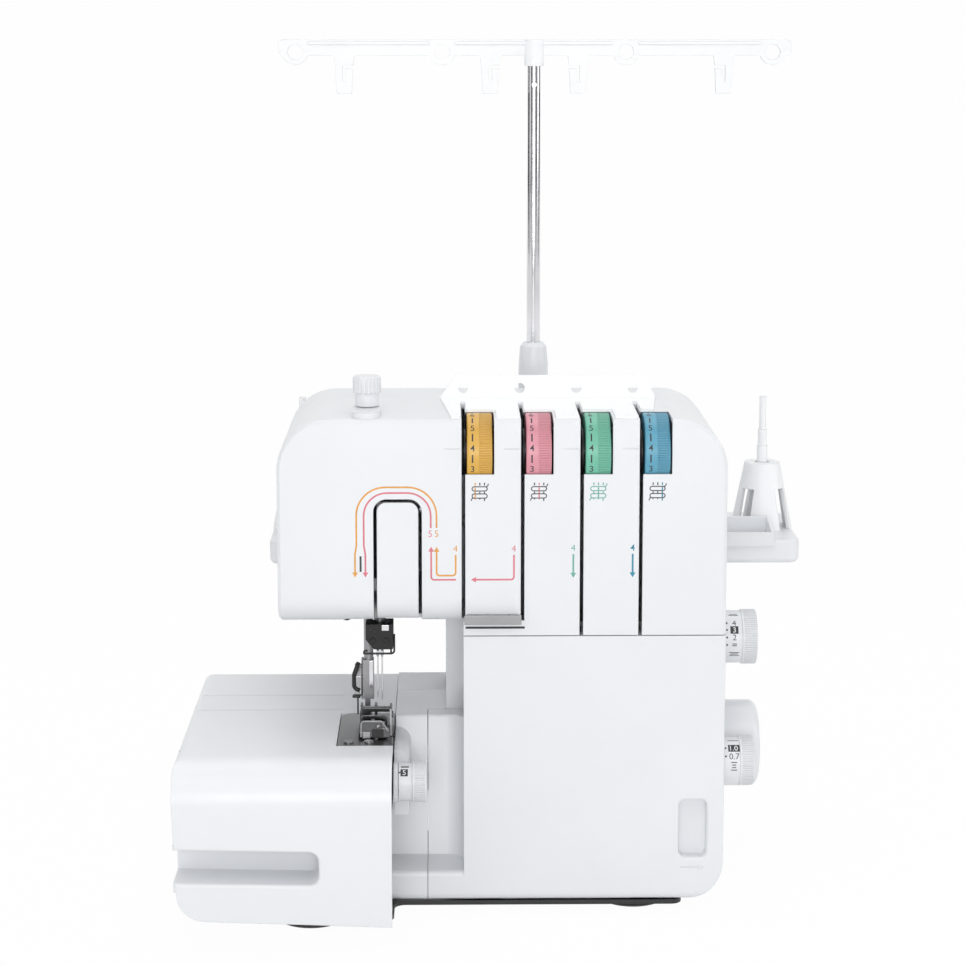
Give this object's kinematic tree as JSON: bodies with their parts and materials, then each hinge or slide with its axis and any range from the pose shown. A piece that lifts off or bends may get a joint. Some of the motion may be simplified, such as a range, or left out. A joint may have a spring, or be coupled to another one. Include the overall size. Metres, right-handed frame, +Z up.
{
  "type": "serger overlock machine",
  "caption": "Free-arm overlock sewing machine with coloured tension dials, slide-off bed cover, swing-down looper cover and telescopic thread tree on a rear spool stand.",
  "frame": {"origin": "on the table, under the centre of the whole machine with its spool stand", "axes": "+X to the handwheel side, +Y to the back, +Z up"},
  "size_m": [0.3532, 0.281, 0.4758],
  "materials": {
    "white_plastic": "smooth semi-gloss moulding",
    "white_matte": "satin moulding",
    "clear_white": "translucent white",
    "dial_yellow": "satin",
    "dial_pink": "satin",
    "dial_green": "satin",
    "dial_blue": "satin",
    "black_plastic": "satin",
    "rubber": "matte",
    "chrome": "polished",
    "steel": "brushed",
    "foot_steel": "polished",
    "dark_steel": "black paint",
    "cast_frame": "as cast",
    "motor_steel": "grey paint",
    "bronze": "sintered",
    "lamp": "frosted"
  },
  "bodies": {
    "machine": {"base_plate": "dark_steel", "rubber_feet": "rubber", "rear_housing": "white_plastic", "head_front_panel": "white_plastic", "take_up_cover": "white_plastic", "main_frame": "cast_frame", "shaft_bushes": "bronze", "head_frame": "cast_frame", "motor": "motor_steel", "drive_belt": "rubber", "free_arm": "white_matte", "needle_plate": "steel", "lower_knife": "steel", "arm_side_cover": "white_plastic", "looper_bay_wall": "white_matte", "top_thread_guide": "clear_white", "front_thread_guide": "steel", "tension_frame": "dark_steel", "tension_discs": "dark_steel", "tension_springs": "steel", "power_inlet": "black_plastic", "work_light": "lamp", "screws": "steel", "spool_stand": "white_plastic", "spool_pins": "white_matte", "pole_socket": "white_plastic"},
    "drive_shaft": {"main_shaft": "steel", "handwheel": "white_plastic", "shaft_pulley": "black_plastic"},
    "motor_rotor": {"motor_pulley": "steel"},
    "needle_unit": {"needle_bar": "steel", "needle_clamp": "black_plastic", "needles": "chrome"},
    "needle_lever": {"needle_bar_lever": "cast_frame", "take_up_levers": "steel"},
    "presser_unit": {"presser_bar": "steel"},
    "foot": {"presser_foot": "foot_steel"},
    "lifter": {"presser_lifter": "black_plastic"},
    "pressure_knob": {"pressure_screw": "white_plastic"},
    "knife": {"upper_knife": "steel"},
    "feed": {"feed_dogs": "steel"},
    "looper_low": {"lower_looper": "chrome"},
    "looper_high": {"upper_looper": "chrome"},
    "bed": {"bed_cover": "white_plastic"},
    "cover_rod": {"cover_hinge_rod": "steel"},
    "front_cover": {"looper_cover": "white_plastic"},
    "dial_1": {"tension_dial_1": "dial_yellow"},
    "dial_2": {"tension_dial_2": "dial_pink"},
    "dial_3": {"tension_dial_3": "dial_green"},
    "dial_4": {"tension_dial_4": "dial_blue"},
    "length_dial": {"stitch_length_dial": "white_plastic"},
    "feed_dial": {"differential_dial": "white_plastic"},
    "width_dial": {"stitch_width_dial": "white_plastic"},
    "switch": {"power_switch": "black_plastic"},
    "pole": {"tree_pole": "chrome"},
    "guide_bar": {"thread_guide_bar": "white_matte"},
    "cone_1": {"cone_adapter_1": "white_matte"},
    "cone_2": {"cone_adapter_2": "white_matte"},
    "cone_3": {"cone_adapter_3": "white_matte"},
    "cone_4": {"cone_adapter_4": "white_matte"}
  },
  "joints": [
    {"name": "handwheel_turn", "type": "hinge", "parent": "machine", "child": "drive_shaft", "pos_m": [0, -0.0095, 0.0772], "axis": [1, 0, 0], "continuous": true},
    {"name": "motor_turn", "type": "hinge", "parent": "machine", "child": "motor_rotor", "pos_m": [0.09, 0.019, 0.038], "axis": [1, 0, 0], "continuous": true},
    {"name": "needle_lever_swing", "type": "hinge", "parent": "machine", "child": "needle_lever", "pos_m": [-0.054, -0.02, 0.209], "axis": [1, 0, 0], "range_deg": [0, 40]},
    {"name": "needle_bar_slide", "type": "slide", "parent": "machine", "child": "needle_unit", "axis": [0, 0, -1], "range_m": [0, 0.0263]},
    {"name": "presser_lifter_turn", "type": "hinge", "parent": "machine", "child": "lifter", "pos_m": [-0.093, 0.024, 0.19], "axis": [0, -1, 0], "range_deg": [0, 26]},
    {"name": "presser_bar_slide", "type": "slide", "parent": "machine", "child": "presser_unit", "axis": [0, 0, 1], "range_m": [0, 0.006]},
    {"name": "presser_foot_tilt", "type": "hinge", "parent": "presser_unit", "child": "foot", "pos_m": [-0.076, -0.0495, 0.1095], "axis": [-1, 0, 0], "range_deg": [0, 5]},
    {"name": "pressure_screw_turn", "type": "hinge", "parent": "machine", "child": "pressure_knob", "pos_m": [-0.076, -0.0485, 0.285], "axis": [0, 0, 1], "range_deg": [-180, 180]},
    {"name": "upper_knife_swing", "type": "hinge", "parent": "machine", "child": "knife", "pos_m": [-0.066, -0.046, 0.078], "axis": [1, 0, 0], "range_deg": [0, 10]},
    {"name": "feed_dog_slide", "type": "slide", "parent": "machine", "child": "feed", "axis": [0, 1, 0], "range_m": [-0.002, 0.002]},
    {"name": "lower_looper_swing", "type": "hinge", "parent": "machine", "child": "looper_low", "pos_m": [-0.052, -0.045, 0.064], "axis": [0, 1, 0], "range_deg": [0, 12]},
    {"name": "upper_looper_swing", "type": "hinge", "parent": "machine", "child": "looper_high", "pos_m": [-0.044, -0.04, 0.08], "axis": [0, 1, 0], "range_deg": [-6, 6]},
    {"name": "bed_cover_slide", "type": "slide", "parent": "machine", "child": "bed", "axis": [-1, 0, 0], "range_m": [0, 0.12]},
    {"name": "looper_cover_slide", "type": "slide", "parent": "machine", "child": "cover_rod", "axis": [1, 0, 0], "range_m": [0, 0.008]},
    {"name": "looper_cover_swing", "type": "hinge", "parent": "cover_rod", "child": "front_cover", "pos_m": [0.04, -0.0715, 0.0123], "axis": [1, 0, 0], "range_deg": [0, 80]},
    {"name": "tension_dial_1_turn", "type": "hinge", "parent": "machine", "child": "dial_1", "pos_m": [-0.0157, -0.0575, 0.255], "axis": [1, 0, 0], "range_deg": [-150, 150]},
    {"name": "tension_dial_2_turn", "type": "hinge", "parent": "machine", "child": "dial_2", "pos_m": [0.01615, -0.0575, 0.255], "axis": [1, 0, 0], "range_deg": [-150, 150]},
    {"name": "tension_dial_3_turn", "type": "hinge", "parent": "machine", "child": "dial_3", "pos_m": [0.048, -0.0575, 0.255], "axis": [1, 0, 0], "range_deg": [-150, 150]},
    {"name": "tension_dial_4_turn", "type": "hinge", "parent": "machine", "child": "dial_4", "pos_m": [0.07985, -0.0575, 0.255], "axis": [1, 0, 0], "range_deg": [-150, 150]},
    {"name": "stitch_length_dial_turn", "type": "hinge", "parent": "machine", "child": "length_dial", "pos_m": [0.12, -0.0195, 0.1418], "axis": [1, 0, 0], "range_deg": [-135, 135]},
    {"name": "differential_dial_turn", "type": "hinge", "parent": "machine", "child": "feed_dial", "pos_m": [0.12, -0.0515, 0.0792], "axis": [1, 0, 0], "range_deg": [-135, 135]},
    {"name": "stitch_width_dial_turn", "type": "hinge", "parent": "machine", "child": "width_dial", "pos_m": [-0.05, -0.1, 0.0825], "axis": [1, 0, 0], "range_deg": [-90, 90]},
    {"name": "power_switch_rock", "type": "hinge", "parent": "machine", "child": "switch", "pos_m": [0.1164, 0.031, 0.069], "axis": [0, -1, 0], "range_deg": [0, 12]},
    {"name": "tree_pole_slide", "type": "slide", "parent": "machine", "child": "pole", "axis": [0, 0, 1], "range_m": [-0.078, 0]},
    {"name": "guide_bar_turn", "type": "hinge", "parent": "pole", "child": "guide_bar", "pos_m": [0.0195, 0.0955, 0.468], "axis": [0, 0, 1], "range_deg": [-90, 90]},
    {"name": "cone_adapter_1_lift", "type": "slide", "parent": "machine", "child": "cone_1", "axis": [0, 0, 1], "range_m": [0, 0.084]},
    {"name": "cone_adapter_2_lift", "type": "slide", "parent": "machine", "child": "cone_2", "axis": [0, 0, 1], "range_m": [0, 0.084]},
    {"name": "cone_adapter_3_lift", "type": "slide", "parent": "machine", "child": "cone_3", "axis": [0, 0, 1], "range_m": [0, 0.084]},
    {"name": "cone_adapter_4_lift", "type": "slide", "parent": "machine", "child": "cone_4", "axis": [0, 0, 1], "range_m": [0, 0.084]}
  ],
  "couplings": [
    {"joint": "motor_turn", "follows": "handwheel_turn", "ratio": 2.9333},
    {"joint": "needle_bar_slide", "follows": "needle_lever_swing", "m_per_rad": 0.0372},
    {"joint": "presser_lifter_turn", "follows": "presser_bar_slide", "rad_per_m": 73}
  ]
}
